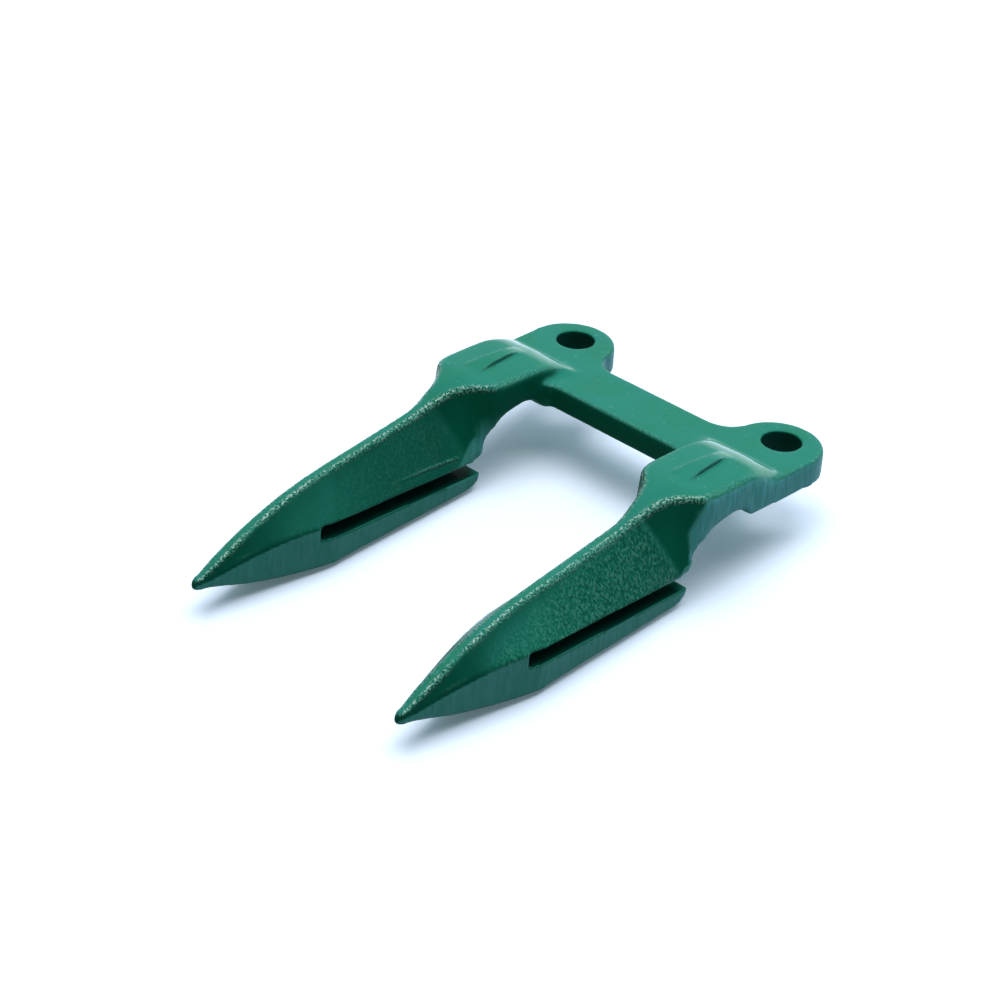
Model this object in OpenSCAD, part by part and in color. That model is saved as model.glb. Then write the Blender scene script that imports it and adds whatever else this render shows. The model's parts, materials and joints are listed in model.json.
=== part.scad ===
// Double-finger knife guard for a mower cutter bar, forged in one piece.
// Origin midway between the two bolt holes, on the flat seat under the ears.
// +X runs along the cross bar, the fingers point along -Y, +Z is the bolt axis.

/* [Bolt ears] */
// Distance between the two bolt holes, and between the two fingers
bolt_pitch = 76.2; // [60:0.1:110]
// Diameter of each bolt hole
bolt_hole_d = 11; // [8:0.1:14]
// Width of an ear, which is also the diameter of its round end
ear_w = 25.4; // [23:0.1:32]
// Centre of the round end, ahead of the bolt hole
ear_round_set = 2; // [0:0.1:4]
// Thickness of the ears and the cross bar above the seat
ear_t = 7.6; // [6:0.1:12]

/* [Cross bar] */
// Front edge of the bar, ahead of the bolt holes
bar_front = 25; // [20:0.5:30]
// Rear edge of the bar, ahead of the bolt holes
bar_rear = 6.3; // [3:0.1:10]
// Gap between the underside of the bar and the seat plane
bar_relief = 0.4; // [0.2:0.1:1.5]
// Radius of the hollow between the bar's rear edge and an ear
bar_fillet_r = 8; // [4:0.5:14]
// Radius of the hollow between the bar's front face and a neck
front_fillet_r = 4; // [2:0.5:6]

/* [Pad] */
// Width of the raised pad over the neck
pad_w = 24; // [20:0.1:24.4]
// Width of the neck below the pad
neck_w = 25; // [24.5:0.1:31]
// Height of the pad above the ears
pad_h = 5; // [3:0.1:9]
// Front corners of the pad, ahead of the bolt holes
pad_front = 44.5; // [40:0.5:47]
// Top of the rear slope, ahead of the bolt holes
pad_rear = 23.2; // [20:0.1:30]
// Length of the rear slope from the pad down to the ear
pad_slope_l = 11; // [8:0.5:13]
// Radius of the pad's long edges
pad_edge_r = 2.2; // [0.6:0.1:3]
// Fall of the pad's crowned top from its middle to its edges
pad_crown = 0.5; // [0.1:0.1:1]
// Rounding of the pad's front corners
pad_corner = 1.6; // [0.4:0.1:3]
// Length over which the finger widens into the neck
widen_l = 9; // [6:0.5:12]

/* [Rib] */
// Width of the low rib on the pad at its front end
rib_w = 6; // [4:0.1:8]
// Width of the rib at its rear end
rib_w_rear = 3; // [2:0.1:4]
// Length of the rib, which ends where the rear slope begins
rib_l = 19; // [16:0.5:20]
// Length of the rib's fall to the pad at each end
rib_fade_l = 7; // [4:0.5:7.5]
// Height of the rib above the pad
rib_h = 0.9; // [0.4:0.1:1.5]

/* [Finger] */
// Tip of the finger, ahead of the bolt holes
tip_reach = 141; // [125:0.5:160]
// Depth of the tip's centre below the seat
tip_drop = 17.8; // [15.5:0.1:19.5]
// Length of the rounded nose
nose_l = 3; // [1.5:0.1:5]
// Half-width of the outline where the nose begins
nose_w = 1.7; // [1.2:0.1:4]
// Half-width of the outline where the taper to the tip begins
finger_w_front = 10.2; // [8:0.1:11]
// Half-width of the outline at the neck
finger_w_neck = 10.9; // [9:0.1:11]
// Start of the taper in the outline, ahead of the bolt holes
taper_from = 101; // [80:0.5:112]
// Height of the top line above the seat where the flare begins
ridge_h = 6.4; // [4:0.1:8]
// Slope of the straight part of the top line
ridge_slope = 9.8; // [6:0.1:12]
// Start of the top line's fall to the tip, ahead of the bolt holes
ridge_fall_from = 97; // [85:0.5:110]
// Radius of the rounded top edge
ridge_r = 1.9; // [1:0.1:3]
// Half-width of the flat along the top edge
ridge_flat = 0.3; // [0.1:0.1:1.5]
// Start of the flare from the finger into the pad, ahead of the bolt holes
flare_from = 66; // [58:0.5:75]

/* [Knife slot] */
// Front end of the slot, ahead of the bolt holes
slot_front = 105; // [95:0.5:112]
// Depth of the slot's upper face below the seat
slot_drop = 9.8; // [8:0.1:12]
// Height of the slot
slot_h = 4.2; // [3.5:0.1:5]
// Start of the parting line's fall to the tip, ahead of the bolt holes
crease_fall_from = 108; // [105:0.5:120]

/* [Tongue] */
// Free rear end of the tongue, ahead of the bolt holes
tongue_end = 47.5; // [46:0.5:60]
// Length of the tongue behind the front of the arch
tongue_over = 1; // [0:0.1:3]
// Thickness of the tongue at its free end
tongue_t = 3.8; // [2.5:0.1:5]
// Slope of the tongue's underside
tongue_slope = 4.6; // [3:0.1:6]
// Slope of the underside from its lowest line up to the tip
nose_slope = 6.2; // [4:0.1:9]
// Inward lean of the finger's lower sides
lower_draft = 3.5; // [1:0.1:6]
// Chamfer on the lower edges
lower_chamfer = 0.8; // [0.3:0.1:1.5]
// Length and depth of the narrowing on each side of the free end
end_narrow = 0.6; // [0.2:0.1:3]
// Height of the bevel under the free end
end_bevel = 2.2; // [0.5:0.1:2.4]

/* [Arch] */
// Radius of the arch that clears the back of the knife
arch_r = 13; // [10:0.5:14]
// Height of the arch's crown above the seat
arch_rise = 4.1; // [2:0.1:6]
// Chamfer where the front of the arch meets the slot
arch_chamfer = 2.4; // [0.5:0.1:3]

/* [Hidden] */
$fn = 64;

pad_top = ear_t + pad_h;
pad_half = pad_w / 2;
neck_half = neck_w / 2;
slot_top = -slot_drop;
slot_floor = slot_top - slot_h;
tongue_end_z = slot_floor - tongue_t;
arch_front = tongue_end + tongue_over;
arch_y = arch_r - arch_front;
arch_z = arch_rise - arch_r;
slope_end = pad_rear - pad_slope_l;
nose_from = tip_reach - nose_l;
// Depth to which a solid is let into the one that carries it
sink = 1;
// Overshoot of a cut past the face that it opens
over = 1;
// Blend of the underside at its lowest line
keel_blend = 0.5;
// Height of the top line above the tip's centre, and depth of the underside below it
tip_rise = ridge_r / 2;
tip_sag = nose_w / 2;
// Largest share of the outline that the flat top edge takes
ridge_share = 0.2;
// Length of the narrowing and of the bevel at the tongue's free end, for each unit of their depth
end_run = 2;
// Half-width of an ear where it runs into the neck
shoulder_half = pad_half + pad_crown / 2;
// Bend of the outline's taper and of the parting line's fall, towards the tip, and of the flare
taper_power = 1.05;
crease_power = 1.6;
flare_power = 2.3;

// Section counts along the finger and around its rounded top edge
nose_steps = 4;
taper_steps = 8;
blade_steps = 6;
flare_steps = 10;
shoulder_steps = 3;
corner_steps = 3;
slope_steps = 8;
edge_steps = 4;

function clamp01(v) = min(1, max(0, v));
function blend(a, b, t) = a + (b - a) * t;
function smooth01(t) = let (c = clamp01(t)) c * c * (3 - 2 * c);

// Smaller and larger of two values, with the corner between them rounded by r
function soft_min(a, b, r) = (a + b - norm([a - b, r])) / 2;
function soft_max(a, b, r) = (a + b + norm([a - b, r])) / 2;

// Share of the way from one distance ahead of the bolt holes to another
function share(d, from, to) = clamp01((from - d) / (from - to));

// Outline half-width at a distance d ahead of the bolt holes
function blade_half(d) =
    let (straight = blend(finger_w_front, finger_w_neck, (taper_from - d) / (taper_from - arch_front)),
         taper = pow(share(d, taper_from, nose_from), taper_power))
    blend(straight, nose_w, taper);
function tongue_half(d) =
    blade_half(d) - end_narrow * smooth01(share(d, tongue_end + end_run * end_narrow, tongue_end));
function outline_half(d) =
    blend(blade_half(max(d, arch_front)), neck_half, smooth01(share(d, pad_front + widen_l, pad_front)));

// Height of the top line
function blade_ridge(d) =
    let (fall = share(d, ridge_fall_from, tip_reach),
         at_tip = ridge_h - (tip_reach - flare_from) * tan(ridge_slope))
    ridge_h + (flare_from - d) * tan(ridge_slope) - (at_tip + tip_drop - tip_rise) * fall * fall;
function ridge_z(d) =
    let (up = blend(blade_ridge(d), pad_top, smooth01(share(d, flare_from, pad_front))),
         down = smooth01(share(d, pad_rear, slope_end)))
    d > pad_front ? up : blend(pad_top, ear_t - sink / 2, down);

// Height of the parting line and of the underside
function crease_z(d) = blend(slot_top, -tip_drop, pow(share(d, crease_fall_from, tip_reach), crease_power));
function keel_z(d) =
    let (tongue = tongue_end_z - (d - tongue_end) * tan(tongue_slope),
         nose = -tip_drop - tip_sag - (tip_reach - d) * tan(nose_slope))
    soft_max(tongue, nose, keel_blend);

// Half-width of the flat top, and the radius of its edges
function top_half(d) =
    let (blade = min(ridge_flat, ridge_share * outline_half(d)), pad = pad_half - pad_edge_r,
         spread = pow(max(0, flare_from - d) / (flare_from - pad_front), flare_power))
    spread > 0 ? soft_min(blend(blade, pad, spread), pad, pad_corner * min(1, spread)) : blade;
function edge_r(d) =
    min(blend(ridge_r, pad_edge_r, share(d, flare_from, pad_front)), outline_half(d) - top_half(d));
function crown(d) = pad_crown * share(d, flare_from, pad_front);

// Right half of the finger's section, from the top centre down to the bottom centre
function half_section(d) =
    let (w = outline_half(d), a = top_half(d), r = edge_r(d), top = ridge_z(d),
         crease = crease_z(d), keel = keel_z(d), hub = top - crown(d) - r,
         dx = w - a, dz = crease - hub,
         touch = atan2(dz, dx) + acos(min(1, r / norm([dx, dz]))),
         low = tongue_half(d), foot = low - (crease - keel) * tan(lower_draft))
    concat(
        [[0, top]],
        [for (i = [0:edge_steps]) let (g = blend(90, touch, i / edge_steps)) [a + r * cos(g), hub + r * sin(g)]],
        [[w, crease], [low, crease - slot_h / 2],
         [foot, keel + lower_chamfer], [foot - lower_chamfer, keel], [0, keel]]);

// Whole section: the right half, then the left half on the way back up
function section(d) =
    let (h = half_section(d), n = len(h))
    concat(h, [for (i = [n - 2:-1:1]) [-h[i][0], h[i][1]]]);

// Section of the rounded nose at an angle from the tip, shrunk about the tip's centre
function nose_section(g) =
    [for (p = section(nose_from)) [p[0] * sin(g), -tip_drop + (p[1] + tip_drop) * sin(g)]];

// Distances ahead of the bolt holes at which the sections stand, behind the nose
stations = concat(
    [for (i = [0:taper_steps - 1]) blend(nose_from, taper_from, i / taper_steps)],
    [for (i = [0:blade_steps - 1]) blend(taper_from, flare_from, i / blade_steps)],
    [for (i = [0:flare_steps]) blend(flare_from, arch_front, i / flare_steps)],
    [for (i = [1:shoulder_steps]) blend(arch_front, pad_front, i / shoulder_steps)],
    [for (i = [1:corner_steps]) blend(pad_front, pad_front - widen_l, i / corner_steps)],
    [for (i = [0:slope_steps]) blend(pad_rear, slope_end, i / slope_steps)]);

// Every ring of points along the finger, from the nose to the rear slope
rings = concat(
    [for (i = [1:nose_steps - 1]) let (g = 90 * i / nose_steps)
        [for (p = nose_section(g)) [p[0], -tip_reach + nose_l * (1 - cos(g)), p[1]]]],
    [for (d = stations) [for (p = section(d)) [p[0], -d, p[1]]]]);

// One finger with its pad, before the slot and the arch are cut:
// a skin over the rings, closed by the tip in front and a flat end inside the ear
module finger() {
    tip = [0, -tip_reach, -tip_drop];
    n = len(rings[0]);
    last = (len(rings) - 1) * n;
    points = concat([tip], [for (ring = rings) each ring]);
    polyhedron(points, concat(
        [for (i = [0:n - 1]) [0, 1 + i, 1 + (i + 1) % n]],
        [for (k = [0:len(rings) - 2], i = [0:n - 1]) let (a = 1 + k * n + i, b = 1 + k * n + (i + 1) % n)
            each [[a, a + n, b], [b, a + n, b + n]]],
        [[for (i = [n - 1:-1:0]) 1 + last + i]]));
}

// Plan of the rib, which narrows towards the rear slope
module rib_plan() {
    front = -pad_rear - rib_l;
    polygon([[-rib_w / 2, front], [rib_w / 2, front], [rib_w_rear / 2, -pad_rear], [-rib_w_rear / 2, -pad_rear]]);
}

// Side view of the rib, which falls to the pad at both ends
module rib_profile() {
    front = -pad_rear - rib_l;
    polygon([[front, 0], [front + rib_fade_l, rib_h], [-pad_rear - rib_fade_l, rib_h], [-pad_rear, 0],
             [-pad_rear, -sink], [front, -sink]]);
}

// Low rib along the middle of the pad
module rib() {
    translate([0, 0, pad_top])
        intersection() {
            translate([0, 0, -sink])
                linear_extrude(rib_h + 2 * sink)
                    rib_plan();
            translate([-rib_w, 0, 0])
                rotate([90, 0, 90])
                    linear_extrude(2 * rib_w)
                        rib_profile();
        }
}

// Plan of one ear: round behind, and narrowing to the neck in front
module ear_plan() {
    translate([0, -ear_round_set])
        circle(d = ear_w);
    polygon([[-ear_w / 2, -ear_round_set], [-shoulder_half, -bar_front],
             [shoulder_half, -bar_front], [ear_w / 2, -ear_round_set]]);
}

// Hollow corner between the bar's front face and the neck of the right finger
module front_fillet_plan() {
    far = shoulder_half + front_fillet_r;
    translate([-far, -bar_front - front_fillet_r])
        difference() {
            square(front_fillet_r + sink);
            circle(front_fillet_r);
        }
}

// Hollow corner between the bar's rear edge and the round end of the right ear
module rear_fillet_plan() {
    rise = bar_fillet_r - bar_rear + ear_round_set;
    run = sqrt(pow(ear_w / 2 + bar_fillet_r, 2) - rise * rise);
    contact = (ear_w / 2) / (ear_w / 2 + bar_fillet_r);
    edge = ear_round_set - bar_rear;
    translate([0, -ear_round_set])
        difference() {
            polygon([[-run, edge], [-run, edge - sink], [0, edge - sink],
                     [0, rise * contact], [-run * contact, rise * contact]]);
            translate([-run, rise])
                circle(bar_fillet_r);
        }
}

// Ears and cross bar, let down past the seat plane that trims them
module yoke() {
    translate([0, 0, -sink])
        linear_extrude(ear_t + sink) {
            for (side = [-1, 1])
                translate([side * bolt_pitch / 2, 0])
                    mirror([side < 0 ? 1 : 0, 0])
                        union() {
                            ear_plan();
                            front_fillet_plan();
                            rear_fillet_plan();
                        }
            translate([-bolt_pitch / 2, -bar_front])
                square([bolt_pitch, bar_front - bar_rear]);
        }
}

// Side view, in Y and Z, of everything taken away below: slot, tongue end, arch and seat
module clearance_profile() {
    depth = tip_drop + tip_reach;
    bevel_l = end_run * end_bevel;
    translate([-slot_front, slot_floor])
        square([slot_front, slot_h]);
    translate([-tongue_end, -depth])
        square([tongue_end, depth + slot_top - slot_h / 2]);
    polygon([[-tongue_end, tongue_end_z + end_bevel], [-tongue_end + over, tongue_end_z + end_bevel],
             [-tongue_end + over, -depth], [-tongue_end - bevel_l, -depth],
             [-tongue_end - bevel_l, keel_z(tongue_end + bevel_l)]]);
    translate([arch_y, arch_z])
        circle(arch_r);
    translate([-arch_front, slot_floor])
        square([arch_r, arch_z - slot_floor]);
    polygon([[-arch_front, slot_top + arch_chamfer], [-arch_front - arch_chamfer, slot_top],
             [-arch_front - arch_chamfer, slot_floor], [-arch_front + over, slot_floor],
             [-arch_front + over, slot_top + arch_chamfer]]);
    translate([arch_y, -depth])
        square([ear_w + tongue_end, depth]);
}

// The same, opened across the whole width
module clearances() {
    translate([-bolt_pitch, 0, 0])
        rotate([90, 0, 90])
            linear_extrude(2 * bolt_pitch)
                clearance_profile();
}

// Shallow relief under the cross bar, between the ears
module bar_clearance() {
    half = (bolt_pitch - ear_w) / 2 - over;
    reach = bar_front + front_fillet_r + over;
    translate([-half, -reach, -over])
        cube([2 * half, reach, bar_relief + over]);
}

// Repeats a finger's detail at both fingers
module both_sides() {
    for (side = [-1, 1])
        translate([side * bolt_pitch / 2, 0, 0])
            children();
}

// The whole forging: fingers and yoke in one, cut from below, bored, with the ribs on top
module knife_guard() {
    color("seagreen") {
        difference() {
            union() {
                yoke();
                both_sides() finger();
            }
            clearances();
            bar_clearance();
            both_sides()
                translate([0, 0, -over])
                    cylinder(d = bolt_hole_d, h = ear_t + 2 * over);
        }
        both_sides() rib();
    }
}

knife_guard();
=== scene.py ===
"""Looks of a forged mower knife guard: a rounded, trimmed forging under glossy green enamel."""

import json
import logging
import math
from dataclasses import dataclass, field
from enum import Enum, IntEnum
from typing import Callable, Dict, List, Optional, Tuple, Union

import bmesh
import bpy
from mathutils import Matrix, Vector, noise

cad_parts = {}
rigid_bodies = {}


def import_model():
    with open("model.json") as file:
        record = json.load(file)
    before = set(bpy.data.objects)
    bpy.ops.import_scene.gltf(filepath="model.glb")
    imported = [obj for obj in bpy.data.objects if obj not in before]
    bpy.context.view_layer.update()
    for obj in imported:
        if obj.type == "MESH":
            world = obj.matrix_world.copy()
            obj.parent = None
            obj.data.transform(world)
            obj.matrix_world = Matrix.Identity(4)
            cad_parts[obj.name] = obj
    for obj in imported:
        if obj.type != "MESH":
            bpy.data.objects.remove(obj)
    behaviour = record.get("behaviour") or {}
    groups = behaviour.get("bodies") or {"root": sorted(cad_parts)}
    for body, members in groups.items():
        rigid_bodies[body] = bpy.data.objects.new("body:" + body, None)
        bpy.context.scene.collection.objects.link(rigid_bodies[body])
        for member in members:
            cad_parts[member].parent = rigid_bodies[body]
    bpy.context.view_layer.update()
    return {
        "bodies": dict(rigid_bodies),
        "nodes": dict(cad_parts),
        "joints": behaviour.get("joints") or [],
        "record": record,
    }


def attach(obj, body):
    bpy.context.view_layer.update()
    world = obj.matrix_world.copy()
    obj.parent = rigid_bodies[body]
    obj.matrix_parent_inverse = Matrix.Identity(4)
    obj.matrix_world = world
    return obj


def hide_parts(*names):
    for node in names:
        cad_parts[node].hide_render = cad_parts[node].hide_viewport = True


LOG = logging.getLogger("knife_guard")
MM = 0.001

Colour = Tuple[float, float, float, float]
Triple = Tuple[float, float, float]
Span = Tuple[float, float]
Point = bmesh.types.BMVert
Socket = bpy.types.NodeSocket
Inputs = Dict[Union[str, int], object]


class Zone(Enum):
    """Named kinds of surface on the forging, kept as point attributes of its mesh."""

    TRIM = "trim"
    PEEN = "peen"
    # Painted shade: upright faces facing front or back, inner neck sides, flares and unhammered finger
    # sides.
    SHADE = "shade"
    # Upper edges: crests painted pale as painted highlights, low spots dark as painted shade.
    EDGE = "edge"
    # Deep painted shade: slots, bolt holes, rib folds and the unhammered upper finger sides.
    DEEP_SHADE = "deep_shade"
    # Rear roll-overs: coated, and painted paler as a painted reflection.
    SHEEN = "sheen"


class Ray(Enum):
    """Outputs of the Light Path node that see the studio's white."""

    CAMERA = "Is Camera Ray"
    GLOSSY = "Is Glossy Ray"
    TRANSMISSION = "Is Transmission Ray"


class MixSocket(IntEnum):
    """Numbers of the Mix node's sockets for colours."""

    SHARE = 0
    FIRST = 6
    SECOND = 7
    RESULT = 2


def ramp01(value: float, low: float, high: float) -> float:
    """Smooth step from 0 at low to 1 at high.

    Args:
        value: Where the step is read.
        low: Value at which the step leaves 0.
        high: Value at which the step reaches 1.

    Returns:
        A share from 0 to 1.
    """
    t = min(1.0, max(0.0, (value - low) / (high - low)))
    return t * t * (3.0 - 2.0 * t)


@dataclass(frozen=True)
class Weave:
    """A noise pattern: cells to the metre, number of finer layers and their strength."""

    scale: float
    detail: float
    rough: float = 0.5


class Graph:
    """Short way to write a shader's nodes."""

    def __init__(self, tree: bpy.types.NodeTree) -> None:
        """Empties the tree and keeps it.

        Args:
            tree: Node tree of a material or of the world.
        """
        self.tree = tree
        self.tree.nodes.clear()

    def node(self, kind: str, inputs: Optional[Inputs] = None, **settings: object) -> bpy.types.Node:
        """Adds a node.

        Args:
            kind: Blender's name of the node type.
            inputs: Value or socket for each input, by name or number.
            settings: Properties of the node.

        Returns:
            The new node.
        """
        made = self.tree.nodes.new(kind)
        for name, value in settings.items():
            setattr(made, name, value)
        for name, value in (inputs or {}).items():
            self.put(made.inputs[name], value)
        return made

    def put(self, socket: Socket, value: object) -> None:
        """Links a socket to an input, or sets the input's own value.

        Args:
            socket: Input to fill.
            value: Output socket, number or colour.
        """
        if isinstance(value, bpy.types.NodeSocket):
            self.tree.links.new(value, socket)
        else:
            socket.default_value = value

    def noise(self, vector: Socket, weave: Weave) -> Socket:
        """Adds a noise pattern.

        Args:
            vector: Socket with the coordinates.
            weave: Scale and layers of the pattern.

        Returns:
            The pattern's value.
        """
        inputs = {"Vector": vector, "Scale": weave.scale, "Detail": weave.detail, "Roughness": weave.rough}
        return self.node("ShaderNodeTexNoise", inputs).outputs["Fac"]

    def math(self, operation: str, a: object, b: object) -> Socket:
        """Adds one sum.

        Args:
            operation: Blender's name of the sum.
            a: First number or socket.
            b: Second number or socket.

        Returns:
            The sum's value.
        """
        return self.node("ShaderNodeMath", {0: a, 1: b}, operation=operation).outputs[0]

    def times(self, a: object, b: object) -> Socket:
        """Multiplies two values.

        Args:
            a: First number or socket.
            b: Second number or socket.

        Returns:
            Their product.
        """
        return self.math("MULTIPLY", a, b)

    def band(self, value: Socket, span: Span, to: Span = (0.0, 1.0)) -> Socket:
        """Stretches a band of a value onto another range, and stops at its ends.

        Args:
            value: Socket to read.
            span: Lower and upper end of the band.
            to: Results at the two ends.

        Returns:
            The stretched value.
        """
        inputs = {"Value": value, "From Min": span[0], "From Max": span[1], "To Min": to[0], "To Max": to[1]}
        return self.node("ShaderNodeMapRange", inputs, clamp=True).outputs[0]

    def mix(self, share: Socket, a: object, b: object) -> Socket:
        """Blends two colours.

        Args:
            share: Share of the second colour.
            a: First colour.
            b: Second colour.

        Returns:
            The blended colour.
        """
        inputs = {MixSocket.SHARE: share, MixSocket.FIRST: a, MixSocket.SECOND: b}
        return self.node("ShaderNodeMix", inputs, data_type="RGBA").outputs[MixSocket.RESULT]

    def attribute(self, zone: Zone) -> Socket:
        """Reads a zone's attribute.

        Args:
            zone: Zone to read.

        Returns:
            The zone's share at each point.
        """
        return self.node("ShaderNodeAttribute", attribute_name=zone.value).outputs["Fac"]

    def sees_white(self) -> Socket:
        """Tells the rays that see the studio's white from those that only light the object.

        Returns:
            1 for the rays that see it, 0 for the others.
        """
        path = self.node("ShaderNodeLightPath")
        sees = path.outputs[Ray.CAMERA.value]
        for ray in (Ray.GLOSSY, Ray.TRANSMISSION):
            sees = self.math("MAXIMUM", sees, path.outputs[ray.value])
        return sees


@dataclass(frozen=True)
class EnamelSockets:
    """Nodes, zones and patterns that the enamel's colour, gloss and height are mixed from."""

    graph: Graph
    trim: Socket
    peen: Socket
    shade: Socket
    edge: Socket
    deep_shade: Socket
    sheen: Socket
    along: Socket
    clouds: Socket
    grain: Socket
    speck: Socket
    dents: Socket
    streak: Socket
    patches: Socket
    crests: Socket


@dataclass(frozen=True)
class GreenEnamel:
    """Glossy green enamel that follows a rough forged skin, with painted shade, painted highlights and
    painted reflections mixed into its colour.
    """

    body: Colour = (0.024, 0.258, 0.205, 1.0)
    thick: Colour = (0.022, 0.245, 0.172, 1.0)
    # Pale colour: random specks, painted highlights on the edge crests and a painted reflection on the rear
    # slopes.
    pale_speck_and_highlight: Colour = (0.100, 0.480, 0.390, 1.0)
    # Painted shade: flares, upright faces facing front or back, inner neck sides, unhammered finger sides,
    # dent lows and edge pits.
    painted_shade: Colour = (0.000, 0.100, 0.060, 1.0)
    # Painted highlight on the crests of the hammer dents.
    peened: Colour = (0.006, 0.200, 0.145, 1.0)
    # Trimmed sides, and the jaw below: each a duller own tone with a painted bluish reflection in it.
    trimmed: Colour = (0.095, 0.400, 0.465, 1.0)
    jaw: Colour = (0.064, 0.310, 0.300, 1.0)
    # Deep painted shade for slots, bolt holes, rib folds and upper finger sides.
    deep_shade_paint: Colour = (0.002, 0.055, 0.042, 1.0)
    gloss: float = 0.17
    trim_rough: float = 0.16
    shade_rough: float = 0.35
    shine: float = 0.03
    bead_gloss: float = 0.10
    bead_index: float = 1.6
    tall: Triple = (1.0, 1.0, 0.5)
    drawn: Triple = (1.0, 1.0, 0.12)
    clouds: Weave = Weave(90.0, 2.0)
    cloud_band: Span = (0.40, 0.65)
    speck: Weave = Weave(700.0, 1.0)
    speck_band: Span = (0.70, 0.76)
    speck_share: float = 0.3
    speck_depth: float = 0.006
    grain: Weave = Weave(1700.0, 2.0, 0.55)
    crest_band: Span = (0.47, 0.56)
    # Share of the painted highlight on the edge crests.
    crest_highlight_share: float = 0.60
    crest_depth: float = 0.80
    # Low spots of the edges, which get painted shade.
    pit_band: Span = (0.40, 0.50)
    pit_share: Span = (0.40, 0.0)
    dents: Weave = Weave(1600.0, 2.0)
    dent_band: Span = (0.33, 0.67)
    dent_depth: float = 0.52
    glint_band: Span = (0.50, 0.64)
    glint_coat: Span = (0.0, 0.32)
    streak: Weave = Weave(750.0, 3.0, 0.6)
    streak_band: Span = (0.40, 0.62)
    streak_share: Span = (0.55, 1.0)
    streak_depth: float = 0.34
    patches: Weave = Weave(130.0, 1.0)
    patch_band: Span = (0.42, 0.58)
    patch_share: Span = (0.35, 1.0)
    ear_band: Span = (-0.022, -0.012)
    ear_share: Span = (1.0, 0.3)
    jaw_band: Span = (-0.052, -0.046)
    # Share of the painted reflection on the rear slopes.
    painted_sheen_share: float = 0.4
    sheen_coat: float = 0.9

    def build(self, name: str) -> bpy.types.Material:
        """Makes the material.

        Args:
            name: Name of the material.

        Returns:
            The material.
        """
        made = bpy.data.materials.new(name)
        made.use_nodes = True
        graph = Graph(made.node_tree)
        parts = self.sockets(graph)
        bump = graph.node("ShaderNodeBump", {"Height": self.height(parts), "Strength": 1.0, "Distance": MM})
        inputs = {
            "Base Color": self.colour(parts),
            "Roughness": self.roughness(parts),
            "Specular IOR Level": self.shine,
            "Coat Weight": self.beads(parts),
            "Coat Roughness": self.bead_gloss,
            "Coat IOR": self.bead_index,
            "Normal": bump.outputs[0],
        }
        shader = graph.node("ShaderNodeBsdfPrincipled", inputs)
        out = graph.node("ShaderNodeOutputMaterial")
        graph.put(out.inputs["Surface"], shader.outputs[0])
        return made

    def sockets(self, graph: Graph) -> EnamelSockets:
        """Reads the zones and adds the patterns.

        Args:
            graph: The material's nodes.

        Returns:
            What the other methods mix.
        """
        place = graph.node("ShaderNodeTexCoord").outputs["Object"]
        tall = graph.node("ShaderNodeMapping", {"Vector": place, "Scale": self.tall}).outputs[0]
        drawn = graph.node("ShaderNodeMapping", {"Vector": place, "Scale": self.drawn}).outputs[0]
        zones = {zone.value: graph.attribute(zone) for zone in Zone}
        grain = graph.noise(place, self.grain)
        return EnamelSockets(
            graph=graph,
            **zones,
            along=graph.node("ShaderNodeSeparateXYZ", {"Vector": place}).outputs["Y"],
            clouds=graph.noise(place, self.clouds),
            grain=grain,
            speck=graph.noise(place, self.speck),
            dents=graph.noise(tall, self.dents),
            streak=graph.noise(drawn, self.streak),
            patches=graph.band(graph.noise(place, self.patches), self.patch_band, self.patch_share),
            crests=graph.times(zones[Zone.EDGE.value], graph.band(grain, self.crest_band)),
        )

    def colour(self, parts: EnamelSockets) -> Socket:
        """Mixes the paint's colour, with painted shade, painted highlights and painted reflections in it.

        Args:
            parts: Nodes, zones and patterns.

        Returns:
            The colour.
        """
        g = parts.graph
        colour = g.mix(g.band(parts.clouds, self.cloud_band), self.body, self.thick)
        specks = g.times(g.band(parts.speck, self.speck_band), self.speck_share)
        colour = g.mix(specks, colour, self.pale_speck_and_highlight)
        # Painted reflection: the rear slopes painted paler.
        colour = g.mix(g.times(parts.sheen, self.painted_sheen_share), colour, self.pale_speck_and_highlight)
        # Painted shade over the shade zone.
        colour = g.mix(parts.shade, colour, self.painted_shade)
        # Painted light and shade on the hammer dents: highs paler, lows in painted shade.
        dent_light_and_shade = g.mix(g.band(parts.dents, self.dent_band), self.painted_shade, self.peened)
        colour = g.mix(parts.peen, colour, dent_light_and_shade)
        # Trimmed and jaw sides: streaked own tone, partly painted bluish reflection.
        cut = g.mix(g.band(parts.along, self.jaw_band), self.jaw, self.trimmed)
        streaks = g.band(parts.streak, self.streak_band, self.streak_share)
        colour = g.mix(g.times(parts.trim, streaks), colour, cut)
        # Painted shade in the low spots of the edges.
        edge_pit_shade = g.band(parts.grain, self.pit_band, self.pit_share)
        colour = g.mix(g.times(parts.edge, edge_pit_shade), colour, self.painted_shade)
        # Painted highlights on the edges' crests.
        colour = g.mix(g.times(parts.crests, self.crest_highlight_share), colour, self.pale_speck_and_highlight)
        # Deep painted shade over the deep zone.
        return g.mix(parts.deep_shade, colour, self.deep_shade_paint)

    def roughness(self, parts: EnamelSockets) -> Socket:
        """Makes the trimmed and shaded sides duller than the rest.

        Args:
            parts: Nodes, zones and patterns.

        Returns:
            The roughness.
        """
        g = parts.graph
        rough = g.math("ADD", self.gloss, g.times(parts.trim, self.trim_rough))
        return g.math("ADD", rough, g.times(parts.shade, self.shade_rough))

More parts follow.
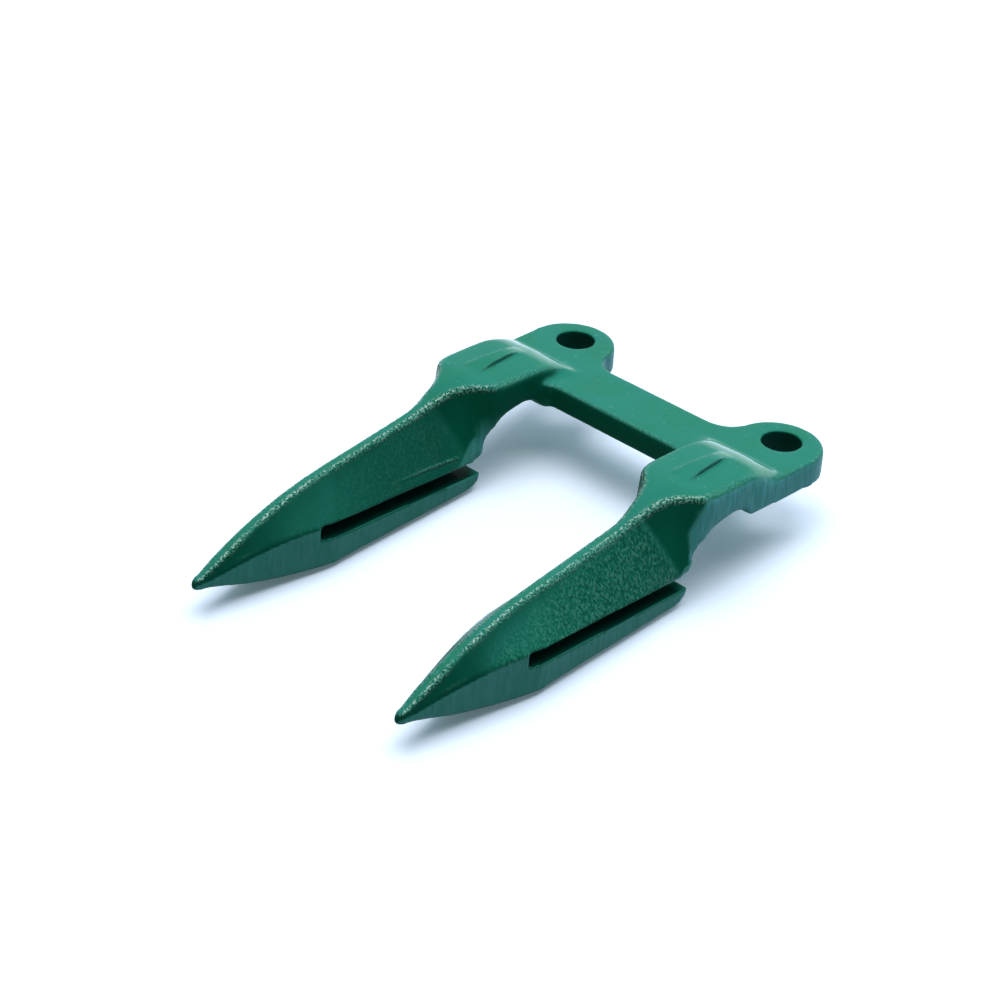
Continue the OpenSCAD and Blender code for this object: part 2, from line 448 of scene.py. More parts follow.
    def beads(self, parts: EnamelSockets) -> Socket:
        """Lays a clear coat on the edges' crests, the hammer marks and the rear slopes.

        Args:
            parts: Nodes, zones and patterns.

        Returns:
            The coat's weight.
        """
        g = parts.graph
        glints = g.times(parts.peen, g.band(parts.dents, self.glint_band, self.glint_coat))
        beads = g.math("MAXIMUM", parts.crests, glints)
        return g.math("MAXIMUM", beads, g.times(parts.sheen, self.sheen_coat))

    def height(self, parts: EnamelSockets) -> Socket:
        """Adds up the fine unevenness of the paint.

        Args:
            parts: Nodes, zones and patterns.

        Returns:
            The height in millimetres.
        """
        g = parts.graph
        skin = g.times(parts.speck, self.speck_depth)
        hammered = g.times(parts.dents, g.times(parts.peen, self.dent_depth))
        drawn = g.times(parts.patches, g.band(parts.along, self.ear_band, self.ear_share))
        lines = g.times(g.times(parts.streak, drawn), g.times(parts.trim, self.streak_depth))
        broken = g.times(parts.grain, g.times(parts.edge, self.crest_depth))
        return g.math("ADD", g.math("ADD", skin, hammered), g.math("ADD", lines, broken))


@dataclass(frozen=True)
class PaleFloor:
    """Matt white floor, white to the camera where no shadow falls."""

    matt: Colour = (0.42, 0.42, 0.42, 1.0)
    seen: Colour = (0.97, 1.12, 1.42, 1.0)
    lift: Colour = (0.08, 0.107, 0.11, 1.0)

    def build(self, name: str) -> bpy.types.Material:
        """Makes the material.

        Args:
            name: Name of the material.

        Returns:
            The material.
        """
        made = bpy.data.materials.new(name)
        made.use_nodes = True
        graph = Graph(made.node_tree)
        sees = graph.sees_white()
        matt = graph.node("ShaderNodeBsdfDiffuse", {"Color": self.matt})
        seen = graph.node("ShaderNodeBsdfDiffuse", {"Color": self.seen})
        lift = graph.node("ShaderNodeEmission", {"Color": self.lift})
        white = graph.node("ShaderNodeAddShader", {0: seen.outputs[0], 1: lift.outputs[0]})
        both = graph.node("ShaderNodeMixShader", {0: sees, 1: matt.outputs[0], 2: white.outputs[0]})
        out = graph.node("ShaderNodeOutputMaterial")
        graph.put(out.inputs["Surface"], both.outputs[0])
        return made


@dataclass(frozen=True)
class Layout:
    """Lengths of the solid that both its shaping and its marking go by."""

    half_pitch: float = 38.1 * MM
    hole_clear: float = 7.2 * MM
    ear_top: float = 7.6 * MM
    slope_low: float = 7.0 * MM
    neck_front: float = 50.0 * MM
    slot_top: float = -9.8 * MM
    slot_low: float = -14.0 * MM
    slot_front: float = 105.2 * MM

    def beside(self, vert: Point) -> float:
        """Tells how far a point lies from the middle of its finger.

        Args:
            vert: Point of the forging.

        Returns:
            The distance along X, positive on the outer side.
        """
        return abs(vert.co.x) - self.half_pitch


@dataclass(frozen=True)
class RibFold:
    """The narrow fold along the right foot of each rib, from its front end to its rear end; its middle is
    also painted with deep painted shade.
    """

    layout: Layout = field(default_factory=Layout)
    front: Span = (2.9 * MM, 41.2 * MM)
    rear: Span = (1.6 * MM, 26.2 * MM)
    half: float = 0.42 * MM
    dark_half: float = 0.26 * MM
    fine_reach: float = 2.5
    fine_cuts: int = 2
    depth: float = 0.45 * MM
    least_up: float = 0.2
    middle: float = 0.08 * MM
    opens: Span = (-0.05, 0.3)
    closes: Span = (0.8, 1.05)
    end_width: float = 0.4
    growth: float = 0.6

    def share(self, vert: Point, half: float) -> float:
        """Tells how far a point lies in the fold.

        Args:
            vert: Point of the forging.
            half: Half of the fold's width.

        Returns:
            A share from 0 outside the fold to 1 on its middle.
        """
        if vert.co.z < self.layout.slope_low or vert.normal.z < self.least_up:
            return 0.0
        across = self.layout.beside(vert)
        across *= 1.0 if vert.co.x > 0.0 else -1.0
        run = Vector((self.rear[0] - self.front[0], self.rear[1] - self.front[1]))
        at = Vector((across - self.front[0], -vert.co.y - self.front[1]))
        along = at.dot(run) / run.length_squared
        off = (at - run * min(1.0, max(0.0, along))).length
        ends = ramp01(along, *self.opens) * (1.0 - ramp01(along, *self.closes))
        width = half * (self.end_width + self.growth * ends)
        return ends * (1.0 - ramp01(off, self.middle, width))

    def cut(self, bm: bmesh.types.BMesh) -> None:
        """Meshes the folds more finely and sinks them.

        Args:
            bm: Evenly meshed forging, with its normals up to date.
        """
        near = [vert for vert in bm.verts if self.share(vert, self.fine_reach * self.half) > 0.0]
        edges = list({edge for vert in near for edge in vert.link_edges})
        bmesh.ops.subdivide_edges(bm, edges=edges, cuts=self.fine_cuts, use_grid_fill=True)
        bm.normal_update()
        for vert in bm.verts:
            vert.co.z -= self.depth * self.share(vert, self.half)
        bm.normal_update()


@dataclass(frozen=True)
class FlashLine:
    """The fine flash line low on the left finger's inner side, raised a little and counted as an edge, so
    that it gets the edges' painted highlights and shade.
    """

    layout: Layout = field(default_factory=Layout)
    rear: float = 55.5 * MM
    front: float = 82.0 * MM
    level: float = -6.6 * MM
    ease: float = 1 * MM
    full: float = 6 * MM
    width: Span = (0.1 * MM, 0.45 * MM)
    lift: float = 0.2
    edge_share: float = 0.8

    def share(self, vert: Point) -> float:
        """Tells how far a point lies on the line.

        Args:
            vert: Point of the forging.

        Returns:
            A share from 0 off the line to 1 on it.
        """
        if not -self.layout.half_pitch < vert.co.x < 0.0:
            return 0.0
        ahead = -vert.co.y
        along = ramp01(ahead, self.rear, self.rear + self.ease)
        along *= 1.0 - ramp01(ahead, self.rear + self.full, self.front)
        return along * (1.0 - ramp01(abs(vert.co.z - self.level), *self.width))


@dataclass(frozen=True)
class Shaper:
    """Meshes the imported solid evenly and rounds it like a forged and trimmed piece."""

    layout: Layout = field(default_factory=Layout)
    fold: RibFold = field(default_factory=RibFold)
    weld: float = 0.002 * MM
    voxel: float = 0.47 * MM
    pull: float = 0.5
    soften_rounds: int = 3
    round_rounds: int = 5
    slope_rounds: int = 5
    shoulder_rounds: int = 6
    arch_rounds: int = 8
    fill_rounds: int = 4
    slot_edge: float = 1.2 * MM
    slot_behind: float = 3 * MM
    slot_ahead: float = 1.5 * MM
    heel_rear: float = 92.0 * MM
    heel_front: float = 139.0 * MM
    heel_start: float = 14 * MM
    heel_end: float = 16 * MM
    heel_low: float = -22.15 * MM
    heel_rise: Span = (1.5 * MM, 6.0 * MM)
    heel_depth: float = 1.2 * MM
    tongue_rear: float = 47.5 * MM
    tongue_ease: float = 1 * MM
    tongue_under: Span = (2.6 * MM, 0.6 * MM)
    tongue_depth: float = 0.7 * MM
    slope_base: float = 2 * MM
    slope_half: float = 14 * MM
    pad_rise: float = 5.0 * MM
    solid_crest: float = 23.2 * MM
    solid_foot: float = 12.2 * MM
    slope_crest: float = 28.0 * MM
    slope_foot: float = 14.0 * MM
    roll_turn: float = 2.0
    roll_fall: float = 0.6
    rim_crest: float = 25.5 * MM
    rim_foot: float = 13.0 * MM
    rim_beside: Span = (9 * MM, 12.5 * MM)
    pad_front: float = 44.0 * MM
    flare_middle: float = 50.0 * MM
    flare_front: float = 60.0 * MM
    flare_half: float = 4 * MM
    pinch_depth: float = 1.0 * MM
    pinch_height: float = 16.0 * MM
    crest_low: float = 2.0 * MM
    crest_reaches: Tuple[float, ...] = (12 * MM, 6 * MM, 0.0)
    rib_clear: float = 5.0 * MM
    rib_rear: float = 24.0 * MM
    rib_front: float = 46.0 * MM
    slope_rear: float = 9.0 * MM
    slope_front: float = 27.0 * MM
    shoulder_insets: Tuple[float, ...] = (3 * MM, 5 * MM)
    shoulder_past: float = 4 * MM
    shoulder_in: float = 7.5 * MM
    shoulder_low: float = 3.5 * MM
    arch_rear: float = 16.5 * MM
    arch_crown: float = 29.0 * MM
    arch_waist: float = 38.0 * MM
    arch_front: float = 56.0 * MM
    arch_foot: float = 0.3 * MM
    arch_top: float = 3 * MM
    arch_ease: float = 2 * MM
    arch_facing: Span = (0.1, 0.3)
    arch_fill: float = 1.8 * MM
    neck_half: float = 13.5 * MM
    neck_top: float = 6.5 * MM
    roof_level: Span = (0.7 * MM, 3 * MM)
    roof_run: Span = (6 * MM, 3 * MM)

    def rounded_copy(self, solid: bpy.types.Object) -> bpy.types.Object:
        """Copies the solid, meshes it evenly and rounds its edges.

        Args:
            solid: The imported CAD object, which stays as it is.

        Returns:
            A new object with the rounded mesh.
        """
        piece = self.even_copy(solid)
        bm = bmesh.new()
        bm.from_mesh(piece.data)
        self.soften(bm, 1, lambda vert: True)
        self.soften(bm, self.soften_rounds, lambda vert: not self.at_slot(vert))
        bm.normal_update()
        self.fill_heels(bm)
        self.tilt_rear_slopes(bm)
        self.pinch_flares(bm)
        for reach in self.crest_reaches:
            self.soften(bm, self.round_rounds, lambda vert: self.on_crest(vert, reach))
        self.soften(bm, self.slope_rounds, self.on_rear_slope)
        for inset in self.shoulder_insets:
            self.soften(bm, self.shoulder_rounds, lambda vert: self.on_shoulder(vert, inset))
        self.soften(bm, self.arch_rounds, self.on_arch)
        self.fill_arches(bm)
        self.soften(bm, self.slope_rounds, self.on_roof_end)
        self.fold.cut(bm)
        bm.to_mesh(piece.data)
        bm.free()
        return piece

    def even_copy(self, solid: bpy.types.Object) -> bpy.types.Object:
        """Copies the solid and meshes it evenly.

        Args:
            solid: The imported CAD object.

        Returns:
            A new object with the even mesh.
        """
        bm = bmesh.new()
        bm.from_mesh(solid.data)
        bmesh.ops.remove_doubles(bm, verts=bm.verts, dist=self.weld)
        rough = bpy.data.meshes.new("forging_rough")
        bm.to_mesh(rough)
        bm.free()
        piece = bpy.data.objects.new("forging", rough)
        bpy.context.scene.collection.objects.link(piece)
        remesh = piece.modifiers.new("even_mesh", "REMESH")
        remesh.mode = "VOXEL"
        remesh.voxel_size = self.voxel
        graph = bpy.context.evaluated_depsgraph_get()
        even = bpy.data.meshes.new_from_object(piece.evaluated_get(graph))
        piece.modifiers.clear()
        even.name = "forging"
        even.materials.clear()
        piece.data = even
        return piece

    def soften(self, bm: bmesh.types.BMesh, rounds: int, chosen: Callable[[Point], bool]) -> None:
        """Rounds the edges among some points.

        Args:
            bm: Mesh that they belong to.
            rounds: Number of times that they move.
            chosen: Tells whether a point moves.
        """
        verts = [vert for vert in bm.verts if chosen(vert)]
        axes = {"use_axis_x": True, "use_axis_y": True, "use_axis_z": True}
        for _ in range(rounds):
            bmesh.ops.smooth_vert(bm, verts=verts, factor=self.pull, **axes)

    def at_slot(self, vert: Point) -> bool:
        """Tells whether a point lies in or round a knife slot, whose edges stay crisp.

        Args:
            vert: Point of the forging.

        Returns:
            Whether the general rounding leaves it alone.
        """
        lay = self.layout
        level = lay.slot_low - self.slot_edge < vert.co.z < lay.slot_top + self.slot_edge
        return level and lay.neck_front - self.slot_behind < -vert.co.y < lay.slot_front + self.slot_ahead

    def fill_heels(self, bm: bmesh.types.BMesh) -> None:
        """Lowers the undersides of the noses and tongues, no lower than the solid's deepest point.

        Args:
            bm: Evenly meshed forging.
        """
        full, bare = (self.heel_low + rise for rise in self.heel_rise)
        under, above = (self.layout.slot_low - depth for depth in self.tongue_under)
        for vert in bm.verts:
            ahead = -vert.co.y
            share = ramp01(ahead, self.heel_rear, self.heel_rear + self.heel_start)
            share *= 1.0 - ramp01(ahead, self.heel_front - self.heel_end, self.heel_front)
            share *= 1.0 - ramp01(vert.co.z, full, bare)
            tongue = 1.0 - ramp01(vert.co.z, under, above)
            tongue *= ramp01(ahead, self.tongue_rear - self.tongue_ease, self.tongue_rear)
            tongue *= 1.0 - ramp01(ahead, self.heel_rear, self.heel_rear + self.heel_start)
            lowered = vert.co.z - self.heel_depth * share - self.tongue_depth * tongue
            if lowered < vert.co.z:
                vert.co.z = max(lowered, min(self.heel_low, vert.co.z))
        bm.normal_update()

    def tilt_rear_slopes(self, bm: bmesh.types.BMesh) -> None:
        """Makes each pad's rear slope a round roll-over, with an even incline along its outer edge.

        Args:
            bm: Evenly meshed forging.
        """
        for vert in bm.verts:
            ahead = -vert.co.y
            beside = self.layout.beside(vert)
            if vert.co.z < self.slope_base or ahead > self.slope_crest or abs(beside) > self.slope_half:
                continue
            solid = ramp01(ahead, self.solid_foot, self.solid_crest)
            behind = (self.slope_crest - ahead) / (self.slope_crest - self.slope_foot)
            even = max(0.0, 1.0 - max(0.0, behind) ** self.roll_turn) ** self.roll_fall
            rim = (ahead - self.rim_foot) / (self.rim_crest - self.rim_foot)
            rim = min(1.0, max(0.0, rim))
            even += (rim - even) * ramp01(beside, *self.rim_beside)
            raised = ramp01(vert.co.z, self.slope_base, self.layout.ear_top)
            vert.co.z += self.pad_rise * (even - solid) * raised
        bm.normal_update()

    def pinch_flares(self, bm: bmesh.types.BMesh) -> None:
        """Narrows the top of each finger close before its pad, so that it widens more abruptly.

        Args:
            bm: Evenly meshed forging.
        """
        low = self.layout.slot_top
        for vert in bm.verts:
            ahead = -vert.co.y
            if not self.pad_front < ahead < self.flare_front:
                continue
            beside = self.layout.beside(vert)
            share = ramp01(ahead, self.pad_front, self.flare_middle)
            share *= 1.0 - ramp01(ahead, self.flare_middle, self.flare_front)
            share *= ramp01(vert.co.z, low, low + self.pinch_height)
            share *= min(1.0, abs(beside) / self.flare_half)
            beside -= math.copysign(self.pinch_depth * share, beside)
            vert.co.x = math.copysign(self.layout.half_pitch + beside, vert.co.x)
        bm.normal_update()

    def on_crest(self, vert: Point, reach: float) -> bool:
        """Tells whether a point lies on the upper edges behind the fingers, off the holes and ribs.

        Args:
            vert: Point of the forging.
            reach: How far past the necks the rounding runs.

        Returns:
            Whether it gets the larger rounding.
        """
        beside = abs(self.layout.beside(vert))
        ahead = -vert.co.y
        if math.hypot(beside, ahead) < self.layout.hole_clear:
            return False
        if beside < self.rib_clear and self.rib_rear < ahead < self.rib_front:
            return False
        return vert.co.z > self.crest_low and ahead < self.layout.neck_front + reach

    def on_rear_slope(self, vert: Point) -> bool:
        """Tells whether a point lies where a pad slopes down to its ear.

        Args:
            vert: Point of the forging.

        Returns:
            Whether it gets the slope's soft rounding.
        """
        return self.slope_rear < -vert.co.y < self.slope_front and vert.co.z > self.layout.slope_low

    def on_shoulder(self, vert: Point, inset: float) -> bool:
        """Tells whether a point lies where a pad's upper side edge runs down into its ear's.

        Args:
            vert: Point of the forging.
            inset: How far inside the slope's two ends the rounding starts.

        Returns:
            Whether it gets the shoulder's long rounding.
        """
        beside = abs(self.layout.beside(vert))
        within = self.slope_rear + inset < -vert.co.y < self.slope_front + self.shoulder_past - inset
        return within and beside > self.shoulder_in and vert.co.z > self.shoulder_low

    def on_arch(self, vert: Point) -> bool:
        """Tells whether a point lies on the underside between an ear and a finger.

        Args:
            vert: Point of the forging.

        Returns:
            Whether it gets the arch's rounding.
        """
        level = self.layout.slot_top + self.arch_foot < vert.co.z < self.arch_top
        return level and self.arch_rear < -vert.co.y < self.arch_front

    def fill_arches(self, bm: bmesh.types.BMesh) -> None:
        """Makes the undersides of the necks fuller, and leaves their sides as they are.

        Args:
            bm: Evenly meshed forging.
        """
        foot = self.layout.slot_top + self.arch_foot
        full = self.layout.slot_top + self.arch_ease
        bm.normal_update()
        for vert in bm.verts:
            ahead = -vert.co.y
            if not self.arch_crown < ahead < self.arch_front:
                continue
            if abs(self.layout.beside(vert)) > self.neck_half or vert.co.z > self.neck_top:
                continue
            share = ramp01(ahead, self.arch_crown, self.arch_waist)
            share *= ramp01(vert.co.z, foot, full)
            share *= ramp01(max(vert.normal.y, -vert.normal.z), *self.arch_facing)
            vert.co += Vector((0.0, vert.normal.y, vert.normal.z)) * (self.arch_fill * share)
        self.soften(bm, self.fill_rounds, self.on_arch)
        bm.normal_update()

    def on_roof_end(self, vert: Point) -> bool:
        """Tells whether a point lies where the arch runs out at the rear end of a slot's roof.

        Args:
            vert: Point of the forging.

        Returns:
            Whether it gets a soft rounding.
        """
        top = self.layout.slot_top
        end = self.layout.neck_front
        level = top - self.roof_level[0] < vert.co.z < top + self.roof_level[1]
        return level and end - self.roof_run[0] < -vert.co.y < end + self.roof_run[1]


@dataclass(frozen=True)
class ZoneMarker:
    """Tells each point of the forging how much it lies in each zone."""

    layout: Layout = field(default_factory=Layout)
    fold: RibFold = field(default_factory=RibFold)
    flash: FlashLine = field(default_factory=FlashLine)
    tight: Span = (110.0, 300.0)
    spread_rounds: int = 4
    shortest: float = 1e-12
    hole_edge: float = 1 * MM
    lying: Span = (0.25, 0.6)
    sideways: Span = (0.35, 0.6)
    flare_rear: float = 49.0 * MM
    flare_lean: float = 0.45
    flare_base: float = 2 * MM
    flare_ease: float = 0.7 * MM
    facing_up: Span = (0.03, 0.12)
    facing_out: Span = (0.6, 0.85)
    facing_middle: Span = (0.2, 0.5)
    inner_from: float = 12.0 * MM
    inner_ease: float = 2 * MM
    inner_end: Span = (1 * MM, 3 * MM)
    inner_foot: float = 0.3 * MM
    strip_front: float = 50.0 * MM
    strip_lean: float = 0.9
    strip_base: float = 2 * MM
    strip_ease: float = 1.2 * MM
    strip_depth: Span = (-4 * MM, 6 * MM)
    strip_share: float = 0.85
    side_height: float = 17.0 * MM
    peen_rear: float = 54.5 * MM
    peen_lean: float = 0.45
    peen_start: float = 3 * MM
    peen_front: float = 120.0 * MM
    peen_end: float = 10 * MM
    peen_top: float = 1.05
    peen_fall: float = 0.018
    peen_fall_from: float = 70.0
    peen_fade: Span = (0.3, 0.1)
    left_peen: float = 0.3
    high: Span = (2 * MM, 5 * MM)
    tip_run: float = 8 * MM
    pad_run: float = 40 * MM
    least_up: float = 0.2
    least_up_more: float = 0.25
    least_up_run: Span = (105 * MM, 118 * MM)
    least_up_ease: float = 0.2
    rim_from: Span = (0.14, 0.32)
    rim_to: Span = (0.80, 0.93)
    rim_behind: Span = (0.15, 0.3)
    bar_loss: float = 0.65
    bar_run: Span = (38 * MM, 48 * MM)
    floor_skin: Span = (1.2 * MM, 0.6 * MM)
    roof_skin: Span = (0.1 * MM, 0.3 * MM)
    slot_start: Span = (3 * MM, 2 * MM)
    slot_end: float = 0.6 * MM
    bore_up: Span = (0.2, 0.6)
    slope_from: Span = (0.10, 0.30)
    slope_to: Span = (0.40, 0.55)
    slope_loss: float = 0.85
    slope_ease: float = 0.6 * MM
    # Share of deep painted shade on the unhammered upper finger sides.
    dim_share: float = 0.6
    dim_run: Span = (4 * MM, 14 * MM)

    def mark(self, mesh: bpy.types.Mesh) -> None:
        """Writes each zone's share at each point.

        Args:
            mesh: Mesh of the forging.
        """
        bm = bmesh.new()
        bm.from_mesh(mesh)
        bm.normal_update()
        tight = self.edge_shares(bm)
        values: Dict[Zone, List[float]] = {zone: [] for zone in Zone}
        for vert in bm.verts:
            for zone, share in self.shares(vert, tight[vert.index]).items():
                values[zone].append(share)
        bm.free()
        for zone, shares in values.items():
            made = mesh.attributes.new(zone.value, "FLOAT", "POINT")
            made.data.foreach_set("value", shares)

    def edge_shares(self, bm: bmesh.types.BMesh) -> List[float]:
        """Tells how much each point lies on a tightly rounded outer edge.

        Args:
            bm: Mesh of the forging, with its normals up to date.

        Returns:
            A share from 0 to 1 for each point, in the order of the points.
        """
        bm.verts.ensure_lookup_table()
        bm.verts.index_update()
        shares: List[float] = []
        for vert in bm.verts:
            bend = 0.0
            for edge in vert.link_edges:
                other = edge.other_vert(vert)
                step = other.co - vert.co
                turn = (other.normal - vert.normal).dot(step) / max(step.length_squared, self.shortest)
                bend = max(bend, turn)
            shares.append(ramp01(bend, *self.tight))
        for _ in range(self.spread_rounds):
            around = []
            for vert in bm.verts:
                near = [shares[edge.other_vert(vert).index] for edge in vert.link_edges]
                around.append(0.5 * shares[vert.index] + 0.5 * sum(near) / max(len(near), 1))
            shares = around
        return shares

    def shares(self, vert: Point, tight: float) -> Dict[Zone, float]:
        """Tells how much a point lies in each zone.

        Args:
            vert: Point of the forging.
            tight: How much it lies on a tightly rounded outer edge.

        Returns:
            A share from 0 to 1 for each zone.
        """
        ahead = -vert.co.y
        height = vert.co.z
        upright = 1.0 - ramp01(abs(vert.normal.z), *self.lying)
        off_hole = self.off_hole(vert)
        in_hole = (1.0 - off_hole) * (1.0 - ramp01(vert.normal.z, *self.bore_up))
        flank = ramp01(abs(vert.normal.x), *self.sideways) * off_hole
        flare = self.flare_rear - self.flare_lean * max(height, self.flare_base)
        facing_in = ramp01(-vert.normal.x * math.copysign(1.0, vert.co.x), *self.facing_middle)
        strip = self.strip(vert, facing_in)

        finger = ramp01(ahead, flare - self.flare_ease, flare + self.flare_ease)
        upper = ramp01(vert.normal.z, *self.facing_up) * finger
        side = ramp01(math.hypot(vert.normal.x, vert.normal.y), *self.facing_out) * upper
        upper *= 1.0 - strip
        side *= 1.0 - strip
        inner = self.inner(vert, facing_in, flare) * (1.0 - self.strip_share * strip)

        worked = self.worked(vert)
        # The rib fold's middle gets deep painted shade, a painted shadow along the rib's foot.
        fold = self.fold.share(vert, self.fold.dark_half)
        edge = self.edge(vert, tight, fold)
        trim = upright * (1.0 - upper) * flank * (1.0 - inner)
        shade = upright * (1.0 - upper) * max(1.0 - flank, inner)
        # Deep painted shade on the unhammered upper finger sides.
        dim = self.dim_share * side * (1.0 - worked)
        dim *= ramp01(ahead, flare + self.dim_run[0], flare + self.dim_run[1])
        # The shade and deep zones carry painted shade, the sheen zone a painted reflection, the edge zone
        # painted highlights and shade.
        return {
            Zone.TRIM: trim,
            Zone.PEEN: side * worked,
            Zone.SHADE: min(1.0, side * (1.0 - worked) + shade),
            Zone.EDGE: max(edge, self.flash.edge_share * self.flash.share(vert)),
            Zone.DEEP_SHADE: max(self.in_slot(vert), in_hole, fold, dim * (1.0 - edge)),
            Zone.SHEEN: self.slope(vert),
        }

    def off_hole(self, vert: Point) -> float:
        """Tells how far a point lies away from the bolt holes.

        Args:
            vert: Point of the forging.

        Returns:
            A share from 0 in a hole to 1 clear of it.
        """
        clear = self.layout.hole_clear
        return ramp01(math.hypot(self.layout.beside(vert), -vert.co.y), clear - self.hole_edge, clear)

    def strip(self, vert: Point, facing_in: float) -> float:
        """Tells how far a point lies on the paler strip low on a neck's inner side.

        Args:
            vert: Point of the forging.
            facing_in: How much it faces the other finger.

        Returns:
            A share from 0 to 1.
        """
        depth = -vert.co.z
        end = self.strip_front + self.strip_lean * max(0.0, depth - self.strip_base)
        share = facing_in * ramp01(end + vert.co.y, 0.0, self.strip_ease)
        return share * ramp01(depth, *self.strip_depth)

    def inner(self, vert: Point, facing_in: float, flare: float) -> float:
        """Tells how far a point lies on the shaded inner side of a neck.

        Args:
            vert: Point of the forging.
            facing_in: How much it faces the other finger.
            flare: Where the finger starts at the point's height.

        Returns:
            A share from 0 to 1.
        """
        ahead = -vert.co.y
        foot = self.layout.slot_top
        share = facing_in * ramp01(ahead, self.inner_from, self.inner_from + self.inner_ease)
        share *= 1.0 - ramp01(ahead, flare + self.inner_end[0], flare + self.inner_end[1])
        return share * ramp01(vert.co.z, foot - self.inner_foot, foot + self.inner_foot)

    def worked(self, vert: Point) -> float:
        """Tells how far a point lies on the hammered stretch of a finger.

        Args:
            vert: Point of the forging.

        Returns:
            A share from 0 to 1, lower on the left finger.
        """
        ahead = -vert.co.y
        rise = (vert.co.z - self.layout.slot_top) / self.side_height
        top = self.peen_top - self.peen_fall * (ahead / MM - self.peen_fall_from)
        rear = self.peen_rear + self.peen_lean * vert.co.z
        share = ramp01(ahead, rear, rear + self.peen_start)
        share *= 1.0 - ramp01(ahead, self.peen_front - self.peen_end, self.peen_front)
        share *= 1.0 - ramp01(rise, top - self.peen_fade[0], top + self.peen_fade[1])
        return share * (1.0 if vert.co.x > 0.0 else self.left_peen)

    def edge(self, vert: Point, tight: float, fold: float) -> float:
        """Tells how much a point lies on an upper edge that glints; its crests get painted highlights and
        its low spots painted shade.

        Args:
            vert: Point of the forging.
            tight: How much it lies on a tightly rounded outer edge.
            fold: How far it lies in a rib's fold.

        Returns:
            A share from 0 to 1.
        """
        ahead = -vert.co.y
        across = abs(vert.normal.x)
        foot = self.layout.slot_top
        high = ramp01(vert.co.z, foot + self.high[0], foot + self.high[1])
        high = max(high, ramp01(ahead, self.peen_front, self.peen_front + self.tip_run))
        tilt = across if ahead > self.pad_run else math.hypot(across, max(-vert.normal.y, 0.0))
        least = self.least_up + self.least_up_more * ramp01(ahead, *self.least_up_run)
        rim = ramp01(tilt, *self.rim_from) * (1.0 - ramp01(tilt, *self.rim_to))
        rim *= ramp01(vert.normal.z, least, least + self.least_up_ease)
        rim *= 1.0 - ramp01(vert.normal.y, *self.rim_behind)
        bar = self.bar_loss * (1.0 - ramp01(ahead, *self.bar_run))
        return tight * rim * high * self.off_hole(vert) * (1.0 - fold) * (1.0 - bar)

    def in_slot(self, vert: Point) -> float:
        """Tells how far a point lies inside a knife slot.

        Args:
            vert: Point of the forging.

        Returns:
            A share from 0 to 1.
        """
        lay = self.layout
        ahead = -vert.co.y
        level = ramp01(vert.co.z, lay.slot_low - self.floor_skin[0], lay.slot_low - self.floor_skin[1])
        level *= 1.0 - ramp01(vert.co.z, lay.slot_top - self.roof_skin[0], lay.slot_top + self.roof_skin[1])
        inside = 1.0 - ramp01(abs(vert.normal.x), *self.sideways)
        inside *= ramp01(ahead, lay.neck_front - self.slot_start[0], lay.neck_front + self.slot_start[1])
        inside *= 1.0 - ramp01(ahead, lay.slot_front, lay.slot_front + self.slot_end)
        return level * inside

    def slope(self, vert: Point) -> float:
        """Tells how far a point lies on the glossy roll-over behind a pad, which is coated and painted paler
        as a painted reflection.

        Args:
            vert: Point of the forging.

        Returns:
            A share from 0 to 1.
        """
        low = self.layout.ear_top
        share = ramp01(vert.normal.y, *self.slope_from) * ramp01(vert.co.z, low, low + self.slope_ease)
        return share * (1.0 - self.slope_loss * ramp01(vert.normal.y, *self.slope_to))


@dataclass(frozen=True)
class Relief:
    """One layer of the skin's unevenness: height in millimetres, scale, and share of the scale along Z."""

    height: float
    scale: float
    stretch: float = 1.0

    def at(self, place: Vector) -> float:
        """Reads the layer.

        Args:
            place: Where it is read.

        Returns:
            The height in millimetres.
        """
        drawn = Vector((place.x, place.y, place.z * self.stretch))
        return self.height * noise.noise(drawn * self.scale)


